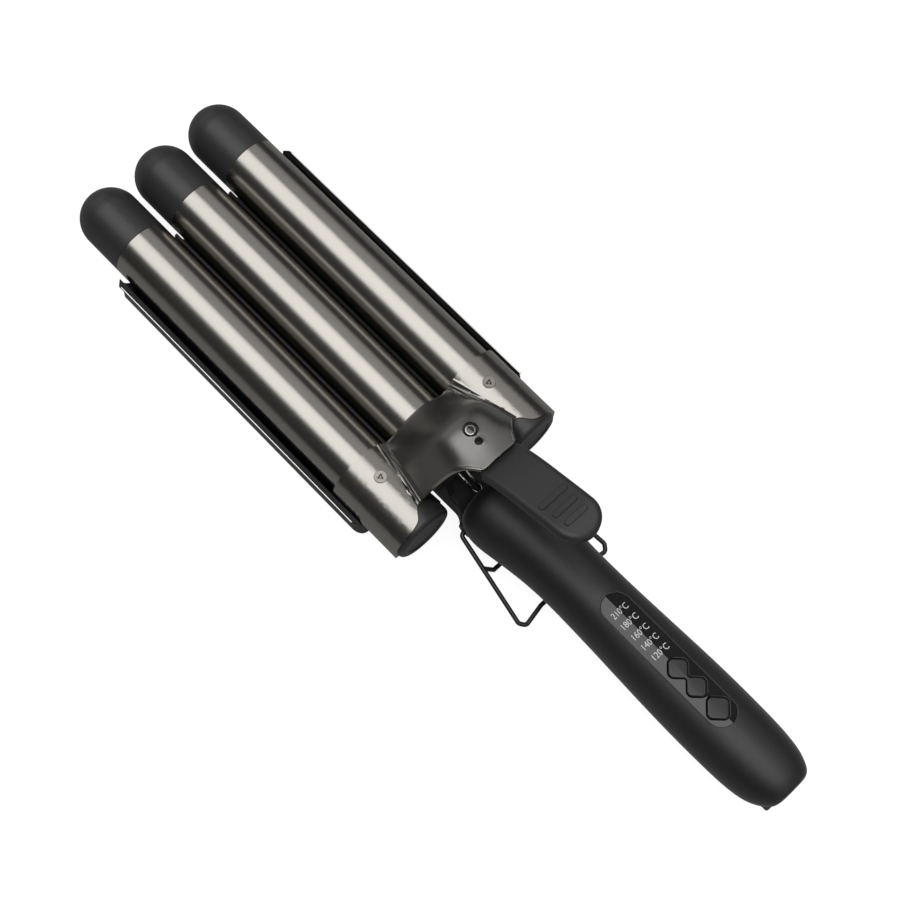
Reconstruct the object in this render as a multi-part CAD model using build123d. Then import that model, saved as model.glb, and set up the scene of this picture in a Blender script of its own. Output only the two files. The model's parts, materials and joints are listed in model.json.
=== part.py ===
from build123d import *
import math
import os

# Three-barrel hair waver. Everything is drawn about the jaw's hinge: X across the barrels,
# +Y from the handle to the tips, +Z up, y = 0 on the hinge pin and z = 0 on the barrels' axes.
# All sizes are millimetres.

# Barrels and tips
BARREL_R = 12.5
BARREL_WALL = 0.9
PITCH = 28.2
SEAM_Y = 148.0
CAP_LEN = 30.5
OUTER_REAR_Y = -4.0
CENTRE_REAR_Y = 8.0
PLUG_LEN = 9.8
PLUG_EDGE = 2.0
SPIGOT_FIT = 0.1
CORE_FRONT_Y = 138.0
CORE_REAR_Y = 30.0
PTC_W = 14.8
PTC_T = 3.0

# Saddle: two jackets on the outer barrels and the bell hood between them. The hood's tables are
# drawn over barrels of DRAWN_R at DRAWN_PITCH and follow the real ones.
SKIN = 0.05
DRAWN_R = 12.5
DRAWN_PITCH = 28.2
WIDEN = PITCH / DRAWN_PITCH
SINK = BARREL_R - DRAWN_R
JACKET_HALF_W = BARREL_R + 1.5
JACKET_TOP = BARREL_R + 0.6
JACKET_FRONT_Y = 22.2
JACKET_REAR_Y = -12.0
JACKET_EDGE_Z = -4.4
HOOD_T = 1.1
HOOD_RISE_Y = 21.2
HOOD_RISE_LEN = 21.0
HOOD_BELL = [(0, 42.4), (5, 42.2), (9.5, 41.5), (13.0, 39.5), (15.4, 36.0), (17.6, 30.8),
             (19.8, 24.6), (21.8, 19.0), (23.5, 15.5), (25.9, 13.9)]
HOOD_FRONT = [(0, 13.3), (3.3, 12.85), (6.4, 11.6), (9.0, 9.6), (11.0, 7.9), (12.8, 6.9),
              (14.6, 6.7), (16.2, 7.2), (17.7, 8.4), (19.7, 10.9)]
HOOD_CROWN = 1.8
HOOD_FRONT_Y = 23.6
HOOD_REAR_Y = -21.0
HOOD_SECTIONS = 11
HOOD_RIM = [(0, -19.6), (5.0, -19.5), (8.1, -19.0), (10.2, -15.8), (14.0, -12.0),
            (18.4, -8.6), (22.0, -6.5), (24.7, -5.8)]
JACKET_RIM = [(24.7, -5.8), (27.1, -7.2), (29.7, -10.4), (33.2, -11.7), (37.5, -12.0), (44.0, -12.0)]
JACKET_SCREW_Y = 11.3
JACKET_SCREW_R = 2.35
HOOD_SCREW_Y = -4.8
HOOD_SCREW_R = 2.4
PILOT_X = -1.2
PILOT_Y = -10.2
PILOT_R = 1.6

# Hinge
HINGE_Z = 3.0
PIN_R = 2.0
RUN_FIT = 0.05
EAR_IN = 7.2
EAR_OUT = 10.0
CHEEK_IN = 10.4
CHEEK_OUT = 12.9
PIN_HALF = 14.9
CLIP_R = 3.6
GAP = 0.35
COIL_R = 3.4
WIRE_R = 0.7
COIL_TURNS = 2.5

# Thumb lever: height of its top along Y
LEVER_HALF_W = 9.7
LEVER_T = 3.4
LEVER_TOP = [(2.5, 40.6), (-6.0, 40.6), (-14.5, 40.8), (-19.6, 42.0), (-24.0, 44.8), (-29.0, 47.4),
             (-35.5, 49.9), (-42.6, 52.3), (-50.0, 54.8), (-56.0, 56.5), (-60.5, 57.0), (-65.0, 55.9)]
LEVER_END_Y = -65.0
TONGUE_HALF_W = 6.6
TONGUE_FRONT_Y = -0.5
TONGUE_REAR_Y = -15.5
LEVER_WIDE_Y = -21.0
LEVER_ROUND = 2.4
RIB_YS = (-45.1, -50.6, -55.8)
RIB_HALVES = (6.7, 5.8, 5.3)
RIB_W = 2.5
RIB_H = 0.45

# Lower jaw
HAIR_GAP = 1.0
PLATE_T = 1.1
PLATE_HALF_W = PITCH + 16.86
PLATE_FRONT_Y = 143.9
PLATE_REAR_Y = 6.0
LIP_Z = -0.67
RIDGE_TOP = 0.2
FLANK = JACKET_HALF_W + 0.5
COVER_HALF_W = PITCH + 15.7
COVER_TOP_Z = -5.0
RIDGE_SEAT_Z = -13.05
FLOOR_Z = -17.2
COVER_SCREW_YS = (30.0, 120.0)
STRIP_FRONT_Y = 134.0
STRIP_REAR_Y = 18.0

# Neck
NECK_HALF_W = 10.0
NECK_TOP_Z = -4.0
NECK_BOTTOM_Z = -14.65
NECK_FRONT_Y = 5.5
NECK_SCREW_YS = (-2.0, -8.0)
TENON_HALF_W = 8.0
TENON_REAR_Y = -34.0

# Handle: (y, half width, top z, bottom z)
HANDLE = [(-17.0, 10.8, 10.6, -10.6), (-18.2, 13.4, 13.0, -12.4), (-20.5, 15.2, 14.6, -13.2),
          (-24.0, 16.6, 15.5, -13.6), (-28.5, 17.0, 15.8, -13.7), (-36.0, 16.2, 15.9, -13.4),
          (-46.0, 14.8, 15.6, -12.6), (-57.0, 13.8, 15.2, -12.0), (-70.0, 13.6, 15.0, -12.2),
          (-84.0, 13.9, 14.9, -12.5), (-100.0, 14.5, 14.8, -12.7), (-116.0, 15.1, 14.8, -12.9),
          (-131.0, 15.4, 14.8, -13.0), (-145.0, 15.3, 14.7, -13.0), (-155.0, 14.9, 14.6, -12.7),
          (-161.0, 14.2, 14.4, -11.8), (-165.0, 13.3, 14.1, -10.2), (-168.2, 12.0, 13.6, -7.9),
          (-170.6, 10.6, 12.9, -5.3), (-172.3, 9.0, 11.9, -2.6), (-173.2, 7.1, 10.7, -0.4),
          (-173.5, 5.2, 9.2, 1.4)]
HANDLE_WALL = 2.0
HANDLE_END_Y = -173.5
SPLIT_Z = 0.5
CAVITY_FRONT_Y = -20.5
CAVITY_REAR_Y = -156.0
HANDLE_SCREW_YS = (-27.0, -70.0, -147.0)

# Panel and keys
PANEL_FRONT_Y = -78.0
PANEL_REAR_Y = -142.3
PANEL_HALF_W = 6.2
PANEL_FIT = 0.1
PANEL_TOP_Z = 13.15
PANEL_T = 1.15
PAD_Z = 9.4
PAD_MARGIN = 2.2
KEY_SIDE = 7.1
POWER_SIDE = 8.0
KEY_CORNER = 2.0
KEY_NECK_HALF_W = 0.8
KEY_NECK_ROUND = 0.8
KEY_FRONT_Y = -114.8
KEY_REAR_Y = -124.2
POWER_Y = -134.8
KEY_TOP_Z = 13.55
KEY_BOTTOM_Z = 10.0
ROCK_Z = 11.1
TRUNNION_R = 0.6
TRUNNION_HALF = PANEL_HALF_W - 0.3
BOARD_TOP_Z = 5.6
SWITCH_TOP_Z = 9.2
LAMP_YS = (-85.4, -90.55, -95.7, -100.85, -106.0)

# Wire stand
STAND_Y = -22.0
STAND_Z = -3.0
STAND_R = 0.9
STAND_PIVOT_X = 17.5
STAND_SLOPE = 0.264
STAND_BEND_R = 1.75
BUSH_R = 3.2
BUSH_FACE_X = 15.55

# Cord gland
GLAND_Z = -1.4
GLAND_R = 9.9
GLAND_NECK_R = 7.7
GLAND_IN_R = 8.6
GLAND_REAR_Y = -172.2
GLAND_FRONT_Y = -151.0
CORD_R = 3.2

ORIGIN = Pos(0, -(SEAM_Y + CAP_LEN + HANDLE_END_Y) / 2, -FLOOR_Z)


def box(x0, x1, y0, y1, z0, z1):
    return Pos((x0 + x1) / 2, (y0 + y1) / 2, (z0 + z1) / 2) * Box(x1 - x0, y1 - y0, z1 - z0)


def rod_y(r, y0, y1, x=0.0, z=0.0):
    return Pos(x, (y0 + y1) / 2, z) * Rot(90, 0, 0) * Cylinder(r, y1 - y0)


def rod_x(r, x0, x1, y, z):
    return Pos((x0 + x1) / 2, y, z) * Rot(0, 90, 0) * Cylinder(r, x1 - x0)


def rod_z(r, x, y, z0, z1):
    return Pos(x, y, (z0 + z1) / 2) * Cylinder(r, z1 - z0)


def across(y):
    """Drawing plane across the object: sketch x is X, sketch y is Z; extrusions run to -Y."""
    return Plane(origin=(0, y, 0), x_dir=(1, 0, 0), z_dir=(0, -1, 0))


def side(x):
    """Drawing plane along the object: sketch x is Y, sketch y is Z; extrusions run to +X."""
    return Plane(origin=(x, 0, 0), x_dir=(0, 1, 0), z_dir=(1, 0, 0))


def along_y(sketch, y0, y1):
    return extrude(across(y1) * sketch, amount=y1 - y0)


def along_x(sketch, x0, x1):
    return extrude(side(x0) * sketch, amount=x1 - x0)


def up(sketch, z0, z1):
    return extrude(Pos(0, 0, z0) * sketch, amount=z1 - z0)


def polygon(points):
    return make_face(Polyline(*points, close=True))


def mirrored(shape):
    return shape + mirror(shape, about=Plane.YZ)


def pair(shape):
    return [shape, mirror(shape, about=Plane.YZ)]


def write(name, shapes):
    """One node: its solids, moved so that the origin is under the middle of the whole."""
    solids = [solid for shape in shapes for solid in (ORIGIN * shape).solids()]
    export_step(Compound(children=solids), "parts/" + name + ".step")


# ---------------------------------------------------------------- barrels

def barrel(x, rear_y):
    tube = rod_y(BARREL_R, rear_y, SEAM_Y, x) - rod_y(BARREL_R - BARREL_WALL, rear_y - 1, SEAM_Y + 1, x)
    return tube


def outer_barrel():
    """Tube with a hole under the jacket screw."""
    return barrel(PITCH, OUTER_REAR_Y) - rod_z(1.7, PITCH, JACKET_SCREW_Y, BARREL_R - 4, BARREL_R + 1)


def tip_cap(x):
    """Domed heat-proof cap, flush with the barrel, its spigot inside the tube."""
    dome_y = SEAM_Y + CAP_LEN - BARREL_R
    spigot_r = BARREL_R - BARREL_WALL - SPIGOT_FIT
    half = [(0, SEAM_Y - 8), (spigot_r - 0.6, SEAM_Y - 8), (spigot_r, SEAM_Y - 7.2), (spigot_r, SEAM_Y),
            (BARREL_R - 0.35, SEAM_Y), (BARREL_R, SEAM_Y + 0.35), (BARREL_R, dome_y)]
    arc = RadiusArc((BARREL_R, dome_y), (0, SEAM_Y + CAP_LEN), -BARREL_R)
    face = make_face(Polyline(*half) + arc + Line((0, SEAM_Y + CAP_LEN), half[0]))
    return Pos(x, 0, 0) * revolve(face, axis=Axis.Y)


def end_plug():
    """Closes an outer barrel behind the jacket; the jacket screw bites into its spigot."""
    rear = OUTER_REAR_Y - PLUG_LEN
    front = OUTER_REAR_Y - SKIN
    spigot_r = BARREL_R - BARREL_WALL - SPIGOT_FIT
    dish_r = BARREL_R - PLUG_EDGE - 1.3
    half = [(0, rear + 0.5), (dish_r - 0.6, rear + 0.5), (dish_r, rear), (BARREL_R - PLUG_EDGE, rear)]
    arc = RadiusArc((BARREL_R - PLUG_EDGE, rear), (BARREL_R, rear + PLUG_EDGE), -PLUG_EDGE)
    rest = [(BARREL_R, rear + PLUG_EDGE), (BARREL_R, front), (spigot_r, front), (spigot_r, 17.0), (0, 17.0)]
    face = make_face(Polyline(*half) + arc + Polyline(*rest) + Line((0, 17.0), half[0]))
    plug = Pos(PITCH, 0, 0) * revolve(face, axis=Axis.Y)
    return plug - rod_z(1.45, PITCH, JACKET_SCREW_Y, BARREL_R - 6.5, BARREL_R + 1)


def heater_core(x):
    """Aluminium core that carries the heat from the ceramic strip to the tube."""
    core_r = BARREL_R - BARREL_WALL - SPIGOT_FIT
    core = rod_y(core_r, CORE_REAR_Y, CORE_FRONT_Y, x)
    core -= box(x - PTC_W / 2 - 0.1, x + PTC_W / 2 + 0.1, CORE_REAR_Y - 1, CORE_FRONT_Y + 1,
                -PTC_T / 2 - 0.1, PTC_T / 2 + 0.1)
    core += box(x - 5, x + 5, CORE_FRONT_Y - 3, CORE_FRONT_Y, -PTC_T / 2 - 0.2, PTC_T / 2 + 0.2)
    return core - rod_y(1.8, CORE_REAR_Y - 1, CORE_REAR_Y + 9, x, 6.0)


def ptc_strip(x):
    return box(x - PTC_W / 2, x + PTC_W / 2, CORE_REAR_Y + 2, CORE_FRONT_Y - 6, -PTC_T / 2, PTC_T / 2)


def thermal_fuse():
    """Fuse bead with its two leads, in the centre core's rear bore."""
    bead = rod_y(1.5, CORE_REAR_Y - 4, CORE_REAR_Y + 8, 0, 6.0)
    return bead + rod_y(0.4, CORE_REAR_Y - 9, CORE_REAR_Y + 8, 0, 6.0)


# ---------------------------------------------------------------- saddle

def smooth(t):
    t = min(1.0, max(0.0, t))
    return t * t * (3 - 2 * t)


def hood_curve(y):
    """Half of the hood's outside across the object at y: from crown to foot."""
    rise = smooth((HOOD_RISE_Y - y) / HOOD_RISE_LEN)
    spread = min(1.0, max(-0.1, (HOOD_RISE_Y - y) / (HOOD_RISE_Y + 6.2)))
    lift = HOOD_CROWN * max(0.0, -y / 19.6) ** 1.5
    points = []
    for i, (front, bell) in enumerate(zip(HOOD_FRONT, HOOD_BELL)):
        foot = i / (len(HOOD_BELL) - 1)
        x = front[0] + (bell[0] - front[0]) * ((1 - foot) * rise + foot * spread)
        z = front[1] + (bell[1] - front[1]) * (rise + (spread - rise) * foot ** 6)
        sink = SINK * (1 - rise * (1 - foot))
        points.append((x * WIDEN, z + sink + lift * (1 - foot) ** 0.5))
    return points


def inward(points, t):
    """The same curve moved inwards by t along its normals."""
    moved = []
    for i, (x, z) in enumerate(points):
        before = points[max(0, i - 1)]
        after = points[min(len(points) - 1, i + 1)]
        dx = after[0] - before[0]
        dz = after[1] - before[1]
        size = math.hypot(dx, dz)
        moved.append((x + t * dz / size, z - t * dx / size))
    return moved


def hood_section(y):
    half = hood_curve(y)
    outer = [(-x, z) for x, z in reversed(half[1:])] + half
    inner = inward(outer, HOOD_T)
    top = Spline(*[(x, y, z) for x, z in outer])
    under = Spline(*[(x, y, z) for x, z in reversed(inner)])
    return Face(Wire([top, Line(top @ 1, under @ 0), under, Line(under @ 1, top @ 0)]))


def hood_sheet():
    """Bell-shaped sheet: lies on the centre barrel in front and stands tall at the rear."""
    step = (HOOD_REAR_Y - HOOD_FRONT_Y) / (HOOD_SECTIONS - 1)
    return loft([hood_section(HOOD_FRONT_Y + i * step) for i in range(HOOD_SECTIONS)])


def jacket():
    """Stamped half shell on the right-hand outer barrel, a little wider than it is tall."""
    tube = along_y(Pos(PITCH, 0) * Ellipse(JACKET_HALF_W, JACKET_TOP), JACKET_REAR_Y - 2, JACKET_FRONT_Y)
    return tube & box(PITCH - 11.2, PITCH + 22, JACKET_REAR_Y - 3, 40, JACKET_EDGE_Z, 30)


def saddle_outline():
    """The saddle seen from above: wavy rear rim, straight front."""
    hood_rim = [(x * WIDEN, y) for x, y in HOOD_RIM]
    jacket_rim = [(x * WIDEN, y) for x, y in JACKET_RIM]
    corners = [(44.0, JACKET_FRONT_Y), (20.4, JACKET_FRONT_Y), (16.0, 21.7), (0, 21.7)]
    front = Polyline(jacket_rim[-1], *[(x * WIDEN, y) for x, y in corners], hood_rim[0])
    return mirrored(make_face(Spline(*hood_rim) + Spline(*jacket_rim) + front))


def jaw_saddle():
    """Hood and both jackets are one stamping, so they are one solid here."""
    sheet = hood_sheet() + jacket() + mirror(jacket(), about=Plane.YZ)
    for x in (-PITCH, 0, PITCH):
        sheet -= rod_y(BARREL_R + SKIN, -40, 60, x)
    sheet &= up(saddle_outline(), -20, 70)
    for x in (-PITCH, PITCH):
        sheet -= rod_z(JACKET_SCREW_R + 0.12, x, JACKET_SCREW_Y, BARREL_R - 1.5, BARREL_R + 3.5)
    sheet -= rod_z(HOOD_SCREW_R + 0.6, 0, HOOD_SCREW_Y, 38, 48)
    sheet -= rod_z(PILOT_R, PILOT_X, PILOT_Y, 38, 48)
    return max(sheet.solids(), key=lambda s: s.volume)


def jacket_screw():
    """Flush head with an angled slot, threaded into the plug's spigot."""
    screw = rod_z(JACKET_SCREW_R, PITCH, JACKET_SCREW_Y, BARREL_R + 0.02, JACKET_TOP + 0.25)
    screw += rod_z(1.35, PITCH, JACKET_SCREW_Y, BARREL_R - 5.5, BARREL_R + 0.1)
    for turn in (-40, 40):
        slot = Pos(0, 0.85, 0) * Box(0.45, 2.4, 1.2)
        screw -= Pos(PITCH, JACKET_SCREW_Y - 0.9, JACKET_TOP + 0.25) * Rot(0, 0, turn) * slot
    return screw


# ---------------------------------------------------------------- hinge and lever

def cheek_outline():
    """Side view of the bracket's cheek: eye on the pin, arm to the barrel plate, riser to the bridge."""
    arm = polygon([(-5.2, HINGE_Z + 1.5), (-1.0, -2.2), (7.0, -2.6), (7.0, 11.0), (3.5, 22.0), (-8.5, 22.0)])
    return arm + Pos(0, HINGE_Z) * Circle(5.4)


def hinge_bracket():
    """Moulded block inside the hood: holds the centre barrel, turns on the pin, carries the lever."""
    block = mirrored(along_x(cheek_outline(), CHEEK_IN, CHEEK_OUT))
    block += rod_y(BARREL_R, 6.0, CENTRE_REAR_Y - SKIN)
    block += rod_y(BARREL_R - BARREL_WALL - SPIGOT_FIT, CENTRE_REAR_Y - 1, CENTRE_REAR_Y + 10)
    block += box(-CHEEK_OUT, CHEEK_OUT, -8.5, 3.5, 18.0, 22.0)
    top = LEVER_TOP[0][1] - LEVER_T - SKIN
    block += box(-6.0, 6.0, -9.5, 0.5, 21.0, top)
    block -= rod_x(PIN_R + RUN_FIT, -20, 20, 0, HINGE_Z)
    block -= rod_y(4.0, CENTRE_REAR_Y + 4, CENTRE_REAR_Y + 20)
    return block - rod_z(1.2, 0, HOOD_SCREW_Y, 26, 60)


def lever_side(raised=0.0):
    """Side view of the lever: a long S from the tongue up to the thumb pad."""
    top = Spline(*[(y, z + raised) for y, z in LEVER_TOP])
    under = Spline(*[(y, z - LEVER_T) for y, z in reversed(LEVER_TOP)])
    return make_face(top + Line(top @ 1, under @ 0) + under + Line(under @ 1, top @ 0))


def lever_plan():
    """Lever seen from above: narrow tongue under the hood, straight sides, round end."""
    right = [(0, TONGUE_FRONT_Y), (TONGUE_HALF_W, TONGUE_FRONT_Y), (TONGUE_HALF_W, TONGUE_REAR_Y),
             (LEVER_HALF_W, LEVER_WIDE_Y), (LEVER_HALF_W, LEVER_END_Y + LEVER_HALF_W)]
    left = [(-x, y) for x, y in reversed(right)]
    end = ThreePointArc(right[-1], (0, LEVER_END_Y), left[0])
    return make_face(Polyline(*right) + end + Polyline(*left))


def lever_height(y):
    """Top of the lever at y."""
    for (y1, z1), (y0, z0) in zip(LEVER_TOP, LEVER_TOP[1:]):
        if y0 <= y <= y1:
            return z0 + (z1 - z0) * (y - y0) / (y1 - y0)
    return LEVER_TOP[-1][1]


def thumb_rib(y, half):
    """Raised bar across the thumb pad, parallel to its surface."""
    outline = up(Pos(0, y) * SlotOverall(2 * half, RIB_W), lever_height(y) - 1.5, 80)
    rib = outline & along_x(lever_side(RIB_H), -12, 12)
    top = [edge for edge in rib.edges() if edge.center().Z > lever_height(edge.center().Y) + RIB_H / 2]
    return chamfer(top, RIB_H / 2)


def thumb_lever():
    lever = along_x(lever_side(), -12, 12) & up(lever_plan(), 20, 80)
    rim = [edge for edge in lever.edges() if edge.center().Y < LEVER_WIDE_Y
           and edge.center().Z > lever_height(edge.center().Y) - LEVER_T / 2]
    lever = fillet(rim, LEVER_ROUND)
    for y, half in zip(RIB_YS, RIB_HALVES):
        lever += thumb_rib(y, half)
    lever -= rod_z(1.5, 0, HOOD_SCREW_Y, 30, 50)
    return lever - rod_z(PILOT_R - 0.2, PILOT_X, PILOT_Y, 39.6, 50)


def hood_screw():
    """Holds hood, lever tongue and bracket together; its head sits in the hood's hole."""
    seat = lever_height(HOOD_SCREW_Y) + 3 * SKIN
    screw = rod_z(HOOD_SCREW_R, 0, HOOD_SCREW_Y, seat, seat + 1.3)
    screw = fillet(screw.edges().group_by(Axis.Z)[-1], 0.8)
    screw += rod_z(1.15, 0, HOOD_SCREW_Y, 28, seat + 0.2)
    for turn in (20, 110):
        slot = Box(0.7, 2.8, 1.4)
        screw -= Pos(0, HOOD_SCREW_Y, seat + 1.3) * Rot(0, 0, turn) * slot
    return screw


def hinge_pin():
    pin = rod_x(PIN_R, -PIN_HALF, PIN_HALF, 0, HINGE_Z)
    for x in (-PIN_HALF + 1.1, PIN_HALF - 1.1):
        groove = rod_x(PIN_R + 1, x - 0.3, x + 0.3, 0, HINGE_Z) - rod_x(1.5, x - 0.3, x + 0.3, 0, HINGE_Z)
        pin -= groove
    return pin


def pin_clip():
    """E-clip in the pin's groove."""
    x = PIN_HALF - 1.1
    clip = rod_x(CLIP_R, x - 0.28, x + 0.28, 0, HINGE_Z) - rod_x(1.52, x - 1, x + 1, 0, HINGE_Z)
    return clip - box(x - 1, x + 1, -1.4, 1.4, HINGE_Z - 6, HINGE_Z)


def spring_path():
    """Centre line of the double torsion spring: arm, coil, hairpin, coil, arm."""
    pitch = 2 * WIRE_R + 0.1
    steps = 12
    coil = []
    for i in range(int(steps * COIL_TURNS) + 1):
        turn = 2 * math.pi * i / steps
        coil.append((1.7 + pitch * i / steps, COIL_R * math.sin(turn), HINGE_Z - COIL_R * math.cos(turn)))
    x = coil[-1][0] + 0.15
    arm = [(x, -2.2, HINGE_Z + COIL_R + 0.35), (x, -4.3, 8.0), (x, -5.9, 11.0), (x, -7.0, 16.9)]
    hairpin = [(0, -14.4, -2.8), (0.95, -14.0, -2.8), (1.4, -12.9, -2.8), (1.4, -9.5, -2.75),
               (1.45, -6.0, -2.1), (1.6, -2.6, -0.9)]
    half = hairpin + coil + arm
    return Spline(*([(-x, y, z) for x, y, z in reversed(half[1:])] + half))


def torsion_spring():
    path = spring_path()
    return sweep(Plane(origin=path @ 0, z_dir=path % 0) * Circle(WIRE_R), path=path, is_frenet=True)


# ---------------------------------------------------------------- lower jaw

def troughs(grow):
    """The three hollows of the wave plate, grown by grow, as one sketch."""
    radius = BARREL_R + HAIR_GAP + grow
    wide = Ellipse(FLANK + grow, radius) & Pos(25, 0) * Rectangle(50, 60)
    outer = Pos(PITCH, 0) * (Circle(radius) + wide)
    return Circle(radius) + outer + mirror(outer, about=Plane.YZ)


def below(z, half_w):
    return Pos(0, z - 20) * Rectangle(2 * half_w, 40)


def jaw_plan(half_w, rear_y, front_y, corner, chamfer_len):
    """Plan of a lower jaw part: round rear corners, clipped front corners."""
    plan = Pos(0, (rear_y + front_y) / 2) * Rectangle(2 * half_w, front_y - rear_y)
    plan = fillet(plan.vertices().group_by(Axis.Y)[0], corner)
    return chamfer(plan.vertices().group_by(Axis.Y)[-1], chamfer_len)


def lower_wave_plate():
    """Sheet that follows the three barrels, ridges between them and a lip along each side."""
    sheet = troughs(PLATE_T) & below(RIDGE_TOP, PITCH + 1.8)
    sheet += Pos(0, RIDGE_TOP - PLATE_T / 2) * Rectangle(2 * PITCH, PLATE_T)
    sheet += troughs(PLATE_T) & below(LIP_Z, 2 * PITCH)
    lip = Pos(PLATE_HALF_W - 1.6, LIP_Z - 0.65) * RectangleRounded(3.2, 1.3, 0.6)
    sheet = sheet + lip + mirror(lip, about=Plane.YZ)
    sheet -= troughs(0)
    plate = along_y(sheet, PLATE_REAR_Y, PLATE_FRONT_Y)
    return plate & up(jaw_plan(PLATE_HALF_W, PLATE_REAR_Y, PLATE_FRONT_Y, 6.0, 2.0), -40, 10)


def heater_strip():
    return box(PITCH / 2 - 1.5, PITCH / 2 + 1.5, STRIP_REAR_Y, STRIP_FRONT_Y, -10.5, -8.0)


def heater_clamp():
    """Bar that presses the strip up into the ridge."""
    bar = box(PITCH / 2 - 2.6, PITCH / 2 + 2.6, STRIP_REAR_Y - 6, STRIP_FRONT_Y + 4,
              RIDGE_SEAT_Z + SKIN, -10.55)
    for y in COVER_SCREW_YS:
        bar -= rod_z(1.15, PITCH / 2, y, -14, -10)
    return bar


def lower_cover():
    """Moulded underside of the jaw, its ridges cut away for the clamps, with a tongue to the neck."""
    shell = Pos(0, (FLOOR_Z + COVER_TOP_Z) / 2) * Rectangle(2 * COVER_HALF_W, COVER_TOP_Z - FLOOR_Z)
    shell = fillet(shell.vertices().group_by(Axis.Y)[0], 7.0)
    ridges = Pos(0, (RIDGE_SEAT_Z + 10) / 2) * Rectangle(2 * PITCH - 0.4, 10 - RIDGE_SEAT_Z)
    cover = along_y(shell - ridges - troughs(PLATE_T + SKIN), PLATE_REAR_Y, PLATE_FRONT_Y - 0.6)
    cover &= up(jaw_plan(COVER_HALF_W, PLATE_REAR_Y, PLATE_FRONT_Y - 0.6, 5.0, 2.0), -40, 10)
    cover += box(-8, 8, -12.0, PLATE_REAR_Y + 4, FLOOR_Z, NECK_BOTTOM_Z - SKIN)
    cover -= cover_screw_holes()
    for y in NECK_SCREW_YS:
        cover -= rod_z(1.3, 0, y, -30, 0) + rod_z(2.4, 0, y, -30, FLOOR_Z + 1.5)
    return cover


def cover_screw_holes():
    holes = Part()
    for x in (-PITCH / 2, PITCH / 2):
        for y in COVER_SCREW_YS:
            holes += rod_z(1.3, x, y, -30, 0) + rod_z(2.4, x, y, -30, FLOOR_Z + 1.7)
    return holes


def pan_screw(x, y, head_z, head_r, head_t, shank_r, tip_z, slot):
    """Screw from below: recessed head with a cross slot, shank upwards."""
    screw = rod_z(head_r, x, y, head_z - head_t, head_z) + rod_z(shank_r, x, y, head_z - 0.1, tip_z)
    cross = Box(slot, 2 * head_r - 1.2, 1.2) + Box(2 * head_r - 1.2, slot, 1.2)
    return screw - Pos(x, y, head_z - head_t) * cross


def lower_cover_screws():
    return [pan_screw(x, y, FLOOR_Z + 1.7, 2.2, 1.4, 1.1, -11.2, 0.6)
            for x in (-PITCH / 2, PITCH / 2) for y in COVER_SCREW_YS]


# ---------------------------------------------------------------- neck and handle

def slab(y, half_w, z0, z1, corner):
    return across(y) * (Pos(0, (z0 + z1) / 2) * RectangleRounded(2 * half_w, z1 - z0, corner))


def neck_block():
    """Moulded neck: ears for the pin, seat for the spring, flare and tenon into the handle."""
    neck = box(-NECK_HALF_W, NECK_HALF_W, -12.0, NECK_FRONT_Y, NECK_BOTTOM_Z, NECK_TOP_Z)
    neck = fillet(neck.edges().filter_by(Axis.Y), 1.0)
    neck += loft([slab(-12.0, NECK_HALF_W, NECK_BOTTOM_Z, NECK_TOP_Z, 1.0),
                  slab(-14.6, NECK_HALF_W + 0.6, NECK_BOTTOM_Z - 0.1, NECK_TOP_Z + 0.4, 1.2),
                  slab(-16.95, NECK_HALF_W + 2.6, NECK_BOTTOM_Z, NECK_TOP_Z + 1.8, 2.0)])
    ear = Pos(0, HINGE_Z) * Circle(5.0) + polygon([(-5, HINGE_Z), (5, HINGE_Z), (5.5, -6), (-9, -6)])
    neck += mirrored(along_x(ear, EAR_IN, EAR_OUT))
    neck += box(-TENON_HALF_W, TENON_HALF_W, TENON_REAR_Y, -16.0, -9.5, -3.0)
    neck -= rod_x(PIN_R, -20, 20, 0, HINGE_Z)
    neck -= rod_z(1.25, 0, HANDLE_SCREW_YS[0], -20, 0)
    for y in NECK_SCREW_YS:
        neck -= rod_z(1.15, 0, y, -20, -7)
    return neck


def neck_screws():
    return [pan_screw(0, y, FLOOR_Z + 1.5, 2.2, 1.2, 1.1, -8.0, 0.6) for y in NECK_SCREW_YS]


def handle_size(y):
    """Half width, top and bottom of the handle at y."""
    for (y1, *big), (y0, *small) in zip(HANDLE, HANDLE[1:]):
        if y0 <= y <= y1:
            t = (y - y0) / (y1 - y0)
            return [s + (b - s) * t for s, b in zip(small, big)]
    return HANDLE[-1][1:]


def handle_oval(y, wall):
    half_w, top, bottom = handle_size(y)
    oval = Pos(0, (top + bottom) / 2) * Ellipse(half_w - wall, (top - bottom) / 2 - wall)
    return across(y) * oval


def handle_form():
    return loft([handle_oval(y, 0) for y, *_ in HANDLE])


def cavity():
    """Room inside the shells from the front wall to the gland's wall."""
    between = [y for y, *_ in HANDLE if CAVITY_REAR_Y + 3 < y < CAVITY_FRONT_Y - 3]
    ys = [CAVITY_FRONT_Y] + between + [CAVITY_REAR_Y]
    return loft([handle_oval(y, HANDLE_WALL) for y in ys])


def stadium(y0, y1, half_w):
    return Pos(0, (y0 + y1) / 2) * Rot(0, 0, 90) * SlotOverall(y1 - y0, 2 * half_w)


def diamond(y, side_len, grow):
    """Rounded diamond key outline."""
    size = side_len + 2 * grow
    return Pos(0, y) * Rot(0, 0, 45) * RectangleRounded(size, size, KEY_CORNER + grow)


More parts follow.
